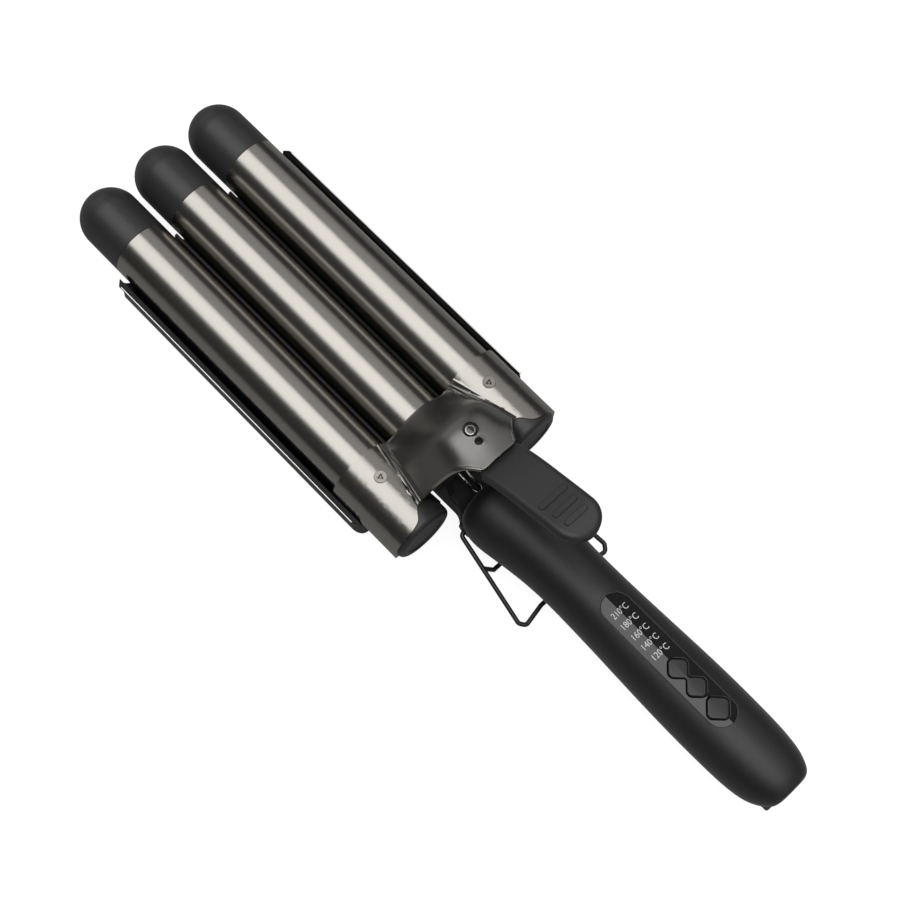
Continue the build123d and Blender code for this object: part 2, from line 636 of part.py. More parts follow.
def double_diamond(grow):
    """Two diamonds joined by a waist."""
    middle = (KEY_FRONT_Y + KEY_REAR_Y) / 2
    waist = Pos(0, middle) * Rectangle(2 * (KEY_NECK_HALF_W + grow), 5.0)
    outline = diamond(KEY_FRONT_Y, KEY_SIDE, grow) + diamond(KEY_REAR_Y, KEY_SIDE, grow) + waist
    neck_edge = KEY_NECK_HALF_W + grow + 0.01
    inner = [v for v in outline.vertices() if abs(v.X) < neck_edge and abs(v.Y - middle) < 3]
    return fillet(inner, KEY_NECK_ROUND - grow)


def panel_pad():
    """Thick land under the panel."""
    m = PAD_MARGIN
    land = stadium(PANEL_REAR_Y - m, PANEL_FRONT_Y + m, PANEL_HALF_W + m)
    return up(land, PAD_Z, PANEL_TOP_Z - PANEL_T + 1)


def panel_cuts():
    """Recess for the panel, wells for keys, windows for the light guide."""
    floor = PANEL_TOP_Z - PANEL_T - 0.02
    fit = PANEL_FIT
    cuts = up(stadium(PANEL_REAR_Y - fit, PANEL_FRONT_Y + fit, PANEL_HALF_W + fit), floor, 30)
    cuts += up(double_diamond(GAP), 5, 20)
    cuts += up(diamond(POWER_Y, POWER_SIDE, GAP), 5, 20)
    cuts += up(diamond(POWER_Y, POWER_SIDE, GAP + 0.9), 5, KEY_BOTTOM_Z + 1.35)
    middle = (KEY_FRONT_Y + KEY_REAR_Y) / 2
    slot = TRUNNION_R + 0.3
    cuts += box(-PANEL_HALF_W, PANEL_HALF_W, middle - slot, middle + slot, ROCK_Z - slot, 20)
    for y in LAMP_YS:
        cuts += box(-2.8, 2.8, y - 1.2, y + 1.2, 5, 20)
    return cuts


def gland_room():
    """Turning room for the gland, one running clearance larger."""
    room = rod_y(GLAND_NECK_R + 0.3, -161, -150, 0, GLAND_Z)
    room += rod_y(GLAND_R + 0.3, HANDLE_END_Y - 5, -159.7, 0, GLAND_Z)
    return room


def handle_holes():
    """Openings both shells share: tenon, gland, stand bushes."""
    holes = box(-TENON_HALF_W - SKIN, TENON_HALF_W + SKIN, TENON_REAR_Y, -10, -9.5 - SKIN, -3.0 + SKIN)
    holes += gland_room()
    for x0, x1 in ((-20, -12.2), (12.2, 20)):
        holes += rod_x(BUSH_R, x0, x1, STAND_Y, STAND_Z)
    return holes


def handle_shells():
    form = handle_form()
    shell = form - cavity()
    upper = (shell & box(-30, 30, -200, 0, SPLIT_Z, 40)) + (panel_pad() & form)
    lower = shell & box(-30, 30, -200, 0, -40, SPLIT_Z - SKIN)
    for y in HANDLE_SCREW_YS[1:]:
        upper += rod_z(3.4, 0, y, SPLIT_Z, 13.5)
        lower += rod_z(3.4, 0, y, -11.5, SPLIT_Z - SKIN)
        upper -= rod_z(1.25, 0, y, -5, 9)
    lower += rod_z(3.4, 0, HANDLE_SCREW_YS[0], -12.2, -9.5 - SKIN)
    for y in HANDLE_SCREW_YS:
        lower -= rod_z(1.5, 0, y, -30, 5) + rod_z(3.1, 0, y, -30, -10.9)
    for y in (-84.0, -112.0, -131.0):
        lower += box(-8.5, 8.5, y - 0.8, y + 0.8, -9.0, BOARD_TOP_Z - 1.6 - SKIN) & form
    return upper - panel_cuts() - handle_holes(), lower - handle_holes()


def handle_screws():
    tips = (-4.0, 8.0, 8.0)
    return [pan_screw(0, y, -10.9, 2.9, 1.3, 1.2, tip, 0.8) for y, tip in zip(HANDLE_SCREW_YS, tips)]


# ---------------------------------------------------------------- controls

def control_panel():
    """Glossy strip set into the handle, open around the keys."""
    plate = up(stadium(PANEL_REAR_Y, PANEL_FRONT_Y, PANEL_HALF_W), PANEL_TOP_Z - PANEL_T, PANEL_TOP_Z)
    return plate - up(double_diamond(GAP), 5, 20) - up(diamond(POWER_Y, POWER_SIDE, GAP), 5, 20)


def adjust_key():
    """Rocker in the shape of two joined diamonds, on a trunnion across its waist."""
    key = up(double_diamond(0), KEY_BOTTOM_Z, KEY_TOP_Z)
    key = chamfer(key.edges().group_by(Axis.Z)[-1], 0.3)
    return key + rod_x(TRUNNION_R, -TRUNNION_HALF, TRUNNION_HALF, (KEY_FRONT_Y + KEY_REAR_Y) / 2, ROCK_Z)


def power_key():
    key = up(diamond(POWER_Y, POWER_SIDE, 0), KEY_BOTTOM_Z, KEY_TOP_Z)
    key = chamfer(key.edges().group_by(Axis.Z)[-1], 0.3)
    flange = up(diamond(POWER_Y, POWER_SIDE, 0.8), KEY_BOTTOM_Z, KEY_BOTTOM_Z + 0.9)
    return key + (flange & box(-9, 9, POWER_Y - 9, POWER_Y + 4.6, 0, 20))


def circuit_board():
    return box(-9, 9, -140.5, -80.0, BOARD_TOP_Z - 1.6, BOARD_TOP_Z)


def tact_switch(y):
    body = box(-3, 3, y - 3, y + 3, BOARD_TOP_Z + SKIN, 8.6)
    return body + rod_z(1.6, 0, y, 8.6, SWITCH_TOP_Z)


def indicator(y):
    return box(-1.0, 1.0, y - 0.5, y + 0.5, BOARD_TOP_Z + SKIN, BOARD_TOP_Z + 0.9)


def light_guide():
    """Clear comb that carries each lamp's light up to its mark."""
    guide = box(-2.5, 2.5, LAMP_YS[-1] - 1.5, LAMP_YS[0] + 1.5, 7.0, 8.4)
    for y in LAMP_YS:
        guide += box(-2.5, 2.5, y - 0.9, y + 0.9, 8.4, PANEL_TOP_Z - PANEL_T - SKIN)
    return guide


# ---------------------------------------------------------------- stand and gland

def stand_bush():
    """Bearing for one end of the stand, let into the handle's side."""
    bush = rod_x(BUSH_R - SKIN, 12.4, BUSH_FACE_X, STAND_Y, STAND_Z)
    return bush - rod_x(STAND_R + RUN_FIT, 10, 20, STAND_Y, STAND_Z)


def wire_stand():
    """One bent wire: two pivot ends, two legs and a slightly bowed foot."""
    plan = [(13.4, STAND_Y), (STAND_PIVOT_X, STAND_Y), (23.2, -60.0), (21.4, -62.4), (12.0, -60.7)]
    half = [(x, y, STAND_Z + STAND_SLOPE * (y - STAND_Y)) for x, y in plan]
    points = half + [(-x, y, z) for x, y, z in reversed(half)]
    path = FilletPolyline(*points, radius=STAND_BEND_R)
    return sweep(Plane(origin=path @ 0, z_dir=path % 0) * Circle(STAND_R), path=path)


def stand_brace():
    """Second wire, welded under the legs, that runs beneath the handle."""
    low = FLOOR_Z + STAND_R
    half = [(17.6, -26.0, -6.05), (19.1, -36.2, -8.65), (14.4, -38.0, low)]
    points = half + [(-x, y, z) for x, y, z in reversed(half)]
    path = Polyline(*points)
    wire = Plane(origin=path @ 0, z_dir=path % 0) * Circle(STAND_R)
    return sweep(wire, path=path, transition=Transition.ROUND)


def cord_gland():
    """Swivelling outlet: inner collar, waist in the shells' wall, outer bell with a bore for the cord."""
    half = [(CORD_R, GLAND_FRONT_Y), (GLAND_IN_R, GLAND_FRONT_Y), (GLAND_IN_R, -155.65),
            (GLAND_NECK_R, -155.65), (GLAND_NECK_R, -160.1), (GLAND_R, -160.1),
            (GLAND_R, GLAND_REAR_Y + 0.6), (GLAND_R - 0.6, GLAND_REAR_Y),
            (CORD_R + 0.8, GLAND_REAR_Y), (CORD_R, GLAND_REAR_Y + 0.8)]
    return Pos(0, 0, GLAND_Z) * revolve(polygon(half), axis=Axis.Y)


def main():
    os.makedirs("parts", exist_ok=True)
    write("centre_barrel", [barrel(0, CENTRE_REAR_Y)])
    write("outer_barrels", pair(outer_barrel()))
    write("tip_caps", [tip_cap(x) for x in (-PITCH, 0, PITCH)])
    write("end_plugs", pair(end_plug()))
    write("heater_cores", [heater_core(x) for x in (-PITCH, 0, PITCH)])
    write("ptc_strips", [ptc_strip(x) for x in (-PITCH, 0, PITCH)])
    write("thermal_fuse", [thermal_fuse()])
    write("jaw_saddle", [jaw_saddle()])
    write("jacket_screws", pair(jacket_screw()))
    write("hinge_bracket", [hinge_bracket()])
    write("thumb_lever", [thumb_lever()])
    write("hood_screw", [hood_screw()])
    write("hinge_pin", [hinge_pin()])
    write("pin_clips", pair(pin_clip()))
    write("torsion_spring", [torsion_spring()])
    write("lower_wave_plate", [lower_wave_plate()])
    write("heater_strips", pair(heater_strip()))
    write("heater_clamps", pair(heater_clamp()))
    write("lower_cover", [lower_cover()])
    write("lower_cover_screws", lower_cover_screws())
    write("neck_block", [neck_block()])
    write("neck_screws", neck_screws())
    upper, lower = handle_shells()
    write("handle_upper_shell", [upper])
    write("handle_lower_shell", [lower])
    write("handle_screws", handle_screws())
    write("control_panel", [control_panel()])
    write("adjust_key", [adjust_key()])
    write("power_key", [power_key()])
    write("circuit_board", [circuit_board()])
    write("tact_switches", [tact_switch(y) for y in (KEY_FRONT_Y, KEY_REAR_Y, POWER_Y)])
    write("indicator_lamps", [indicator(y) for y in LAMP_YS])
    write("light_guide", [light_guide()])
    write("stand_bushes", pair(stand_bush()))
    write("wire_stand", [wire_stand()])
    write("stand_brace", [stand_brace()])
    write("cord_gland", [cord_gland()])


main()
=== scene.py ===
# %% [markdown]
# # A three-barrel hair waver
# The imported model brings every hard part of the tool in its true place: barrels, caps, the
# stamped saddle with its hood, lever, handle, keys and the wire stand. What is left for this
# script is how they look: finishes, the crowned key panel, the printed marks, small metal
# trim, thin black wires that paint the shade in gaps, a bright wire that paints a highlight,
# light and camera. Everything is in metres, +Y runs from the handle to the barrels' tips and
# +Z is up.

# %% Load the frame
import json
import math
import bmesh
import bpy
from mathutils import Euler, Matrix, Vector
from mathutils.bvhtree import BVHTree


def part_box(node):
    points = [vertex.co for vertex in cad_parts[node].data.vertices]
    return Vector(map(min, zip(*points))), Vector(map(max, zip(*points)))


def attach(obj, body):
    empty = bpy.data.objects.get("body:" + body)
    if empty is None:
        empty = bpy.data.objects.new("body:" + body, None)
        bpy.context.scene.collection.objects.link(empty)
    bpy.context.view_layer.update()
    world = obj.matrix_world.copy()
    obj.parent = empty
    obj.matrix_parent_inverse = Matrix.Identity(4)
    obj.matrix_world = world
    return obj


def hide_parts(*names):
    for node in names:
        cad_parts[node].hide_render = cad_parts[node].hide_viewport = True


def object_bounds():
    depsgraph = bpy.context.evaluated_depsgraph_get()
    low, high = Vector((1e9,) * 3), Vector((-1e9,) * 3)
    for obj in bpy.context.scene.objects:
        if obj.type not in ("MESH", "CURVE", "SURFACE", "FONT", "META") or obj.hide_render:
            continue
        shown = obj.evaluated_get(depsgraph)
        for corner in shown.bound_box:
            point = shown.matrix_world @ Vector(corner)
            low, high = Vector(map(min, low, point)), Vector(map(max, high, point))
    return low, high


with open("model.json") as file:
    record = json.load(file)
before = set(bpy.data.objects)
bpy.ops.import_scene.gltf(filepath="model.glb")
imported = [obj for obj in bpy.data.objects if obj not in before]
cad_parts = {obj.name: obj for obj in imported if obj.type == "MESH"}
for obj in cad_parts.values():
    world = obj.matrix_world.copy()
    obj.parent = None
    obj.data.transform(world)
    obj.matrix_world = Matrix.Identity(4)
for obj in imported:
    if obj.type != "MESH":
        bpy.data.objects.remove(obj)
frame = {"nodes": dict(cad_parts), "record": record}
cad_low, cad_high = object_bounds()
nodes = frame["nodes"]
slots = {s["node"]: s["material_slot"] for s in frame["record"]["subparts"]}
MM = 0.001
HAIR = 0.01 * MM  # points closer than this to a plane lie in it
MERGE = 0.001 * MM  # points closer than this are one point
HINGE_Y = -2.5 * MM  # the jaws' hinge, from which places along the tool are counted
print("frame box", [round(v, 4) for v in (*cad_low, *cad_high)], "nodes", len(nodes))

# %% [markdown]
# ## Camera
# The camera stands behind the handle's left side and high above, rolled by an eighth of a
# turn, so the tool lies corner to corner. Its lens is a fairly long one, which keeps
# the three barrels nearly parallel; a wide lens from nearby would make them fan out.

# %% Camera
CAMERA_AT = Vector((-205.06, -158.06, 682.89)) * MM
CAMERA_TURN = [math.radians(a) for a in (21.2464, -3.2719, -43.9503)]
LENS_MM = 75.165
SENSOR_MM = 36.0
FARTHEST_SEEN = 20.0

camera_data = bpy.data.cameras.new("camera")
camera_data.lens = LENS_MM
camera_data.sensor_width = SENSOR_MM
camera_data.clip_end = FARTHEST_SEEN
camera = bpy.data.objects.new("camera", camera_data)
camera.location = CAMERA_AT
camera.rotation_euler = Euler(CAMERA_TURN, "XYZ")
bpy.context.scene.collection.objects.link(camera)
bpy.context.scene.camera = camera
print("camera at", [round(v, 3) for v in camera.location])

# %% [markdown]
# ## Shader helpers
# A finish is a few lines of arithmetic on patterns. Nodes could be wired up one by one, but
# that hides the sums in twenty lines of links. `Signal` wraps one output socket instead, so
# `1 - mask * 0.3` adds the Math nodes that it says.


# %% Signal
class Signal:
    """One output socket that can be used in arithmetic."""

    def __init__(self, owner, socket):
        self.owner = owner
        self.socket = socket

    def maths(self, operation, first, second=0.0):
        return self.owner.node("ShaderNodeMath", {"operation": operation}, {0: first, 1: second})

    def __add__(self, other):
        return self.maths("ADD", self, other)

    def __sub__(self, other):
        return self.maths("SUBTRACT", self, other)

    def __rsub__(self, other):
        return self.maths("SUBTRACT", other, self)

    def __mul__(self, other):
        return self.maths("MULTIPLY", self, other)

    def __abs__(self):
        return self.maths("ABSOLUTE", self)

    def clamped(self):
        """The same signal kept between 0 and 1."""
        return self.owner.node("ShaderNodeClamp", None, {"Value": self})

    __radd__ = __add__
    __rmul__ = __mul__


print("a signal can add, subtract and multiply, from either side")

# %% [markdown]
# ## Node trees and finishes
# `NodeTree` holds the nodes of a material or of the world, and its `node` method makes any
# node that isn't plain maths, settings first and then sockets. `Finish` is one material: what
# is the same all over it goes straight on its shader, and only what changes over the surface
# is worked out by nodes. Patterns read Object coordinates, so they stay on a moving piece.


# %% NodeTree and Finish
class NodeTree:
    """The nodes of a material or of the world."""

    def __init__(self, holder):
        holder.use_nodes = True
        self.tree = holder.node_tree

    def feed(self, socket, value):
        """Puts a signal, a colour or a number on an input socket."""
        if isinstance(value, Signal):
            self.tree.links.new(value.socket, socket)
        elif socket.type == "RGBA":
            socket.default_value = (*value[:3], 1.0)
        else:
            socket.default_value = value

    def node(self, kind, settings=None, sockets=None, output=0):
        made = self.tree.nodes.new(kind)
        for name, value in (settings or {}).items():
            setattr(made, name, value)
        for name, value in (sockets or {}).items():
            self.feed(made.inputs[name], value)
        return Signal(self, made.outputs[output])


class Finish(NodeTree):
    """One material and its Principled shader."""

    def __init__(self, name, **constants):
        self.material = bpy.data.materials.new(name)
        super().__init__(self.material)
        self.shader = self.tree.nodes["Principled BSDF"]
        for socket, value in constants.items():
            self.set(socket.replace("_", " "), value)

    def set(self, socket, value):
        self.feed(self.shader.inputs[socket], value)

    def axis(self, index):
        """One Object coordinate in metres: 0 is X, 1 is Y and 2 is Z."""
        where = self.node("ShaderNodeTexCoord", output="Object")
        return self.node("ShaderNodeSeparateXYZ", None, {"Vector": where}, output=index)

    def place(self, stretch=(1, 1, 1)):
        """Object coordinates; a pattern is squeezed along an axis whose stretch is over 1."""
        where = self.node("ShaderNodeTexCoord", output="Object")
        return self.node("ShaderNodeMapping", None, {"Vector": where, "Scale": stretch})

    def noise(self, scale, detail=2.0, stretch=(1, 1, 1)):
        sockets = {"Vector": self.place(stretch), "Scale": scale, "Detail": detail}
        return self.node("ShaderNodeTexNoise", None, sockets)

    def between(self, mask, low, high):
        """Colour that goes from low to high as mask goes from 0 to 1."""
        sockets = {0: mask, 6: low, 7: high}
        return self.node("ShaderNodeMix", {"data_type": "RGBA"}, sockets, output=2)

    def tint(self, pattern, colour, darkest, lightest):
        """Base colour that follows a pattern from a darker to a lighter shade."""
        self.set("Base Color", self.between(pattern, shade(colour, darkest),
                                            shade(colour, lightest)))

    def bump(self, height, strength, distance):
        sockets = {"Height": height, "Strength": strength, "Distance": distance}
        self.set("Normal", self.node("ShaderNodeBump", None, sockets))


def shade(colour, factor):
    return tuple(min(1.0, c * factor) for c in colour)


def swing(pattern, width):
    """A pattern from 0 to 1 turned into a swing round nought."""
    return (pattern - 0.5) * width


print("finish helpers ready")

# %% [markdown]
# ## Metal finishes
# The barrels carry a warm titanium coating, polished by turning: a mirror softened by
# hair-fine lines round the tube. Even roughness alone would look like painted plastic, so
# noise that is squeezed along Y gives such lines, in the roughness and in a very shallow
# bump. The jackets of the saddle share this coating, while its hood is a darker gunmetal; the
# change follows the crease where the hood meets a jacket.

# %% Coated and satin metal
TITANIUM = (0.340, 0.323, 0.298)
GUNMETAL = (0.190, 0.186, 0.180)
BARREL_ROUGHNESS = 0.25
HOOD_DULLER = 0.14
LINE_BUMP = 0.02
LINE_DEPTH = 0.004 * MM
CREASE_X = 23.8 * MM  # from the middle to a crease, beside the hinge
CREASE_LEAN = 0.233  # how far a crease closes in on the middle for each metre ahead
CREASE_SHARPNESS = 1500.0  # the tone changes over two thirds of a millimetre


def turned_lines(finish):
    return finish.noise(scale=220.0, detail=3.0, stretch=(1.0, 12.0, 1.0))


def barrel_metal():
    finish = Finish("barrel_metal", Metallic=1.0)
    lines = turned_lines(finish)
    cloud = finish.noise(scale=24.0, detail=3.0)
    finish.tint(cloud, TITANIUM, 0.96, 1.04)
    finish.set("Roughness", swing(lines, 0.05) + swing(cloud, 0.05) + BARREL_ROUGHNESS)
    finish.bump(lines, LINE_BUMP, LINE_DEPTH)
    return finish


def saddle_metal():
    """Titanium on the jackets, gunmetal between the two creases."""
    finish = Finish("saddle_metal", Metallic=1.0)
    crease = (finish.axis(1) - HINGE_Y) * -CREASE_LEAN + CREASE_X
    hood = ((crease - abs(finish.axis(0))) * CREASE_SHARPNESS + 0.5).clamped()
    lines = turned_lines(finish)
    cloud = finish.noise(scale=30.0, detail=3.0)
    tone = finish.between(hood, TITANIUM, GUNMETAL)
    finish.set("Base Color", finish.between(cloud * 0.12, tone, shade(GUNMETAL, 0.5)))
    finish.set("Roughness", hood * HOOD_DULLER + swing(lines, 0.06) + BARREL_ROUGHNESS)
    finish.bump(lines, LINE_BUMP, LINE_DEPTH)
    return finish


def satin_metal(name, tone, roughness):
    finish = Finish(name, Metallic=1.0)
    grain = finish.noise(scale=1800.0)
    finish.tint(grain, tone, 0.96, 1.04)
    finish.set("Roughness", swing(grain, 0.06) + roughness)
    return finish


SATIN_METALS = {
    "bright_metal": dict(tone=(0.3, 0.29, 0.28), roughness=0.12),
    "screw_metal": dict(tone=(0.27, 0.25, 0.23), roughness=0.3),
    "aluminium": dict(tone=(0.7, 0.7, 0.7), roughness=0.35),
    # painted highlight: bright metal for the wires along the wave plate's black edges
    "edge_highlight_metal": dict(tone=(0.8, 0.79, 0.77), roughness=0.25),
    "dark_chrome": dict(tone=(0.07, 0.07, 0.072), roughness=0.1),
}
finishes = {name: satin_metal(name, **look) for name, look in SATIN_METALS.items()}
finishes["barrel_metal"] = barrel_metal()
finishes["hood_metal"] = saddle_metal()
print("metal finishes", sorted(finishes))

# %% [markdown]
# ## Plastics and paint
# Moulded black plastic is never one flat tone: a fine spark texture from the mould scatters
# light, and handling leaves it a little uneven. One recipe with a few numbers serves them
# all. The soft-touch handle is the mattest and has a faint velvet sheen, caps and plugs are
# plain heat-proof nylon, and the panel and the wave plate are glossy.

# %% Moulded plastics
SPARK_BUMP = 0.3


def moulded(name, tone, roughness, grain, depth, **constants):
    """A near-grey plastic or paint with `grain` spots a metre, `depth` metres deep."""
    colour = (tone, tone, tone * 1.01)
    finish = Finish(name, **constants)
    spark = finish.noise(scale=grain)
    wear = finish.noise(scale=35.0, detail=4.0)
    finish.tint(wear, colour, 0.86, 1.16)
    finish.set("Roughness", swing(wear, 0.1) + swing(spark, 0.08) + roughness)
    finish.bump(spark, SPARK_BUMP, depth)
    return finish


PLASTICS = {
    "cap_plastic": dict(tone=0.026, roughness=0.42, grain=2600.0, depth=0.02 * MM),
    "plug_plastic": dict(tone=0.026, roughness=0.4, grain=2200.0, depth=0.02 * MM),
    "handle_soft": dict(tone=0.009, roughness=0.5, grain=3000.0, depth=0.01 * MM,
                        Specular_IOR_Level=0.6, Sheen_Weight=0.2, Sheen_Roughness=0.4),
    "lever_plastic": dict(tone=0.024, roughness=0.48, grain=2600.0, depth=0.01 * MM),
    "wire_black": dict(tone=0.012, roughness=0.35, grain=1500.0, depth=0.01 * MM),
    "plate_gloss": dict(tone=0.0025, roughness=0.2, grain=900.0, depth=0.003 * MM,
                        Specular_IOR_Level=0.14),
    "panel_gloss": dict(tone=0.014, roughness=0.09, grain=700.0, depth=0.001 * MM,
                        Coat_Weight=0.2),
    "key_plastic": dict(tone=0.02, roughness=0.36, grain=2000.0, depth=0.01 * MM),
    "ceramic": dict(tone=0.6, roughness=0.7, grain=1500.0, depth=0.02 * MM),
}
finishes.update({name: moulded(name, **look) for name, look in PLASTICS.items()})
print("plastic finishes", sorted(PLASTICS))

# %% [markdown]
# ## Board and clear plastic
# Two pieces inside the handle need finishes of their own. The circuit board is green lacquer
# over copper tracks, and a brick pattern is the plainest way to get rows of tracks. The light
# guide under the panel is clear plastic that lets most light through. That completes the set,
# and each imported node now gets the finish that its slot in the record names.

# %% Board and clear plastic
LACQUER = (0.03, 0.16, 0.07)
TRACKS_PER_METRE = 120.0


def board_finish():
    finish = Finish("board", Roughness=0.4)
    sockets = {"Vector": finish.place(), "Scale": TRACKS_PER_METRE}
    tracks = finish.node("ShaderNodeTexBrick", None, sockets, output="Fac")
    finish.tint(tracks, LACQUER, 1.0, 2.2)
    return finish


finishes["board"] = board_finish()
finishes["clear_plastic"] = Finish("clear_plastic", Roughness=0.15, Base_Color=(0.9, 0.9, 0.9),
                                   Transmission_Weight=0.6)

for name, node in nodes.items():
    node.data.materials.clear()
    node.data.materials.append(finishes[slots[name]].material)
print("finished", len(nodes), "nodes")

# %% [markdown]
# ## New pieces from packed ones
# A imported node's mesh is loose triangles. A copy is merged and its flat faces are joined, and
# then it is a clean mesh that a bevel or a bend works on. `add_piece` turns the finished
# bmesh into an object at the origin and hangs it on its body, so it moves with its joint.

# %% Copy and add
JOIN_ANGLE = math.radians(1.0)
CRISP = math.radians(2.0)  # edges that turn more than this stay sharp
GENTLE = math.radians(30.0)
ROUND = math.radians(60.0)


def merged_copy(node, join_flats=True):
    shape = bmesh.new()
    shape.from_mesh(nodes[node].data)
    bmesh.ops.remove_doubles(shape, verts=shape.verts, dist=MERGE)
    if join_flats:
        bmesh.ops.dissolve_limit(shape, angle_limit=JOIN_ANGLE, verts=shape.verts,
                                 edges=shape.edges)
    print("copied", node, len(shape.faces), "faces")
    return shape


def add_piece(shape, name, body, finish, sharp_from=GENTLE):
    mesh = bpy.data.meshes.new(name)
    shape.to_mesh(mesh)
    shape.free()
    mesh.materials.append(finish.material)
    mesh.shade_smooth()
    mesh.set_sharp_from_angle(angle=sharp_from)
    piece = bpy.data.objects.new(name, mesh)
    bpy.context.scene.collection.objects.link(piece)
    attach(piece, body)
    print("made", name, len(mesh.polygons), "faces")
    return piece


# %% [markdown]
# ## Crowned key panel
# The glossy panel is not flat: a faint ridge runs along its middle, so one half catches the
# lamp and the other stays dark. A painted stripe would stay put when the view turns, which a
# reflection doesn't, so the shape itself is bent: the flat plate is cut along the middle, its
# top is lifted there and lowered at the edges, and its rim is broken by a fine bevel.

# %% Crowned panel
RIDGE_UP = 0.22 * MM
FALL_LEFT = 0.07  # drop for each metre away from the ridge
FALL_RIGHT = 0.038
PANEL_BEVEL = 0.16 * MM
PANEL_TOP_DEPTH = 0.3 * MM  # what lies within this of the top is the top
SHARP_EDGE = math.radians(40)
panel_low, panel_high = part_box("control_panel")


def crown(x):
    """Height of the panel's top at x."""
    return panel_high.z + RIDGE_UP - abs(x) * (FALL_LEFT if x < 0 else FALL_RIGHT)


def cut_middle(shape):
    parts = list(shape.verts) + list(shape.edges) + list(shape.faces)
    bmesh.ops.bisect_plane(shape, geom=parts, plane_co=(0, 0, 0), plane_no=(1, 0, 0), dist=HAIR)


def soften_rim(shape, level, width, segments):
    """Bevels the sharp edges that lie in the plane z = level."""
    rim = [e for e in shape.edges if all(abs(v.co.z - level) < HAIR for v in e.verts)
           and e.calc_face_angle(0.0) > SHARP_EDGE]
    bmesh.ops.bevel(shape, geom=rim, offset=width, affect="EDGES", segments=segments,
                    profile=0.5, material=-1, clamp_overlap=True)


def crowned_panel():
    shape = merged_copy("control_panel")
    soften_rim(shape, panel_high.z, PANEL_BEVEL, 2)
    cut_middle(shape)
    for vert in shape.verts:
        if vert.co.z > panel_high.z - PANEL_TOP_DEPTH:
            vert.co.z += crown(vert.co.x) - panel_high.z
    panel = add_piece(shape, "crowned_panel", "handle",
                      finishes["panel_gloss"], CRISP)
    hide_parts("control_panel")


crowned_panel()

# %% [markdown]
# ## Soft keys
# The keys are moulded with rounded edges, and a dark line runs round each where it sits in
# its opening. Each is its packed key, a little smaller in plan so that the line is wide
# enough to see, with its upper rim bevelled round.

# %% Soft keys
KEY_SHRINK = 0.14 * MM
KEY_BEVEL = 0.4 * MM


def soft_key(node, body):
    shape = merged_copy(node)
    low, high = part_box(node)
    middle = (low + high) / 2
    factors = [1 - 2 * KEY_SHRINK / (high[axis] - low[axis]) for axis in (0, 1)]
    bmesh.ops.scale(shape, verts=shape.verts, vec=(*factors, 1),
                    space=Matrix.Translation(-middle))
    soften_rim(shape, high.z, KEY_BEVEL, 3)
    key = add_piece(shape, node + "_soft", body, finishes["key_plastic"])
    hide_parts(node)


soft_key("adjust_key", "adjust_rocker")
soft_key("power_key", "power_button")

# %% [markdown]
# ## Printed marks
# Five temperature marks are printed across the panel in a narrow, thin face. Blender's own
# text gives the outlines; each is turned into a mesh, squeezed to its width, cut at the
# ridge and laid on the crown, a hair above it.

# %% Temperature marks
# How far along from the hinge each mark stands, in mm.
MARK_PLACES = {"210": -85.4, "180": -90.6, "160": -95.9, "140": -100.9, "120": -106.1}
MARK_WIDTH = 7.4 * MM
MARK_HEIGHT = 2.6 * MM
MARK_LIFT = 0.02 * MM
THINNER = -0.002  # pulls the strokes' outlines in
DULL_WHITE = (0.62, 0.62, 0.63)
FULL_WHITE = (0.78, 0.78, 0.79)

ink = Finish("mark_ink", Roughness=0.5)
ink.set("Base Color", ink.between(ink.noise(scale=900.0), DULL_WHITE, FULL_WHITE))


def as_bmesh(curve):
    """A text or curve turned into a mesh."""
    carrier = bpy.data.objects.new("carrier", curve)
    bpy.context.scene.collection.objects.link(carrier)
    mesh = bpy.data.meshes.new_from_object(carrier)
    bpy.data.objects.remove(carrier)
    shape = bmesh.new()
    shape.from_mesh(mesh)
    return shape


def lettering(words):
    """Flat narrow lettering round the origin, its top towards the tips."""
    text = bpy.data.curves.new("mark_" + words, "FONT")
    text.body = words + "°C"
    text.offset = THINNER
    text.resolution_u = 3
    shape = as_bmesh(text)
    lows = [min(v.co[axis] for v in shape.verts) for axis in (0, 1)]
    highs = [max(v.co[axis] for v in shape.verts) for axis in (0, 1)]
    middle = Vector(((lows[0] + highs[0]) / 2, (lows[1] + highs[1]) / 2, 0))
    bmesh.ops.translate(shape, verts=shape.verts, vec=-middle)
    squeeze = (MARK_WIDTH / (highs[0] - lows[0]), MARK_HEIGHT / (highs[1] - lows[1]), 1)
    bmesh.ops.scale(shape, verts=shape.verts, vec=squeeze)
    return shape


for words, place in MARK_PLACES.items():
    mark = lettering(words)
    cut_middle(mark)
    bmesh.ops.translate(mark, verts=mark.verts, vec=(0, place * MM + HINGE_Y, 0))
    for vert in mark.verts:
        vert.co.z = crown(vert.co.x) + MARK_LIFT
    add_piece(mark, "mark_" + words, "handle", ink, CRISP)

# %% [markdown]
# ## Softer hood
# A deep-drawn sheet has no crisp shoulders: the metal flows over the punch. A new shape could
# be drawn from nothing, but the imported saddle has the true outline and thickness. So a grid is
# dropped on its hood, the grid's heights are smoothed between crease and crease, and the
# saddle's copy is moved up or down by the difference. Both faces of the sheet move alike, so
# it keeps its thickness.

# %% Heights of the hood
DOWN = Vector((0, 0, -1))
RAY_START = 0.2  # above everything
HOOD_MIDDLE_Y = 2.0 * MM + HINGE_Y
HOOD_REACH = 24.0 * MM
GRID_CELLS = 60
HOLES = [(0.0, -4.8, 3.4), (-1.2, -10.2, 2.0)]  # x, y from the hinge and radius, in mm
BESIDE_HOLES = 4.4 * MM
SMOOTH_ROUNDS = 100
KEEP_BY_CREASE = 2.6 * MM


def inside_crease(vert):
    """How far a point lies from the nearer crease, towards the middle."""
    return CREASE_X - CREASE_LEAN * (vert.co.y - HINGE_Y) - abs(vert.co.x)


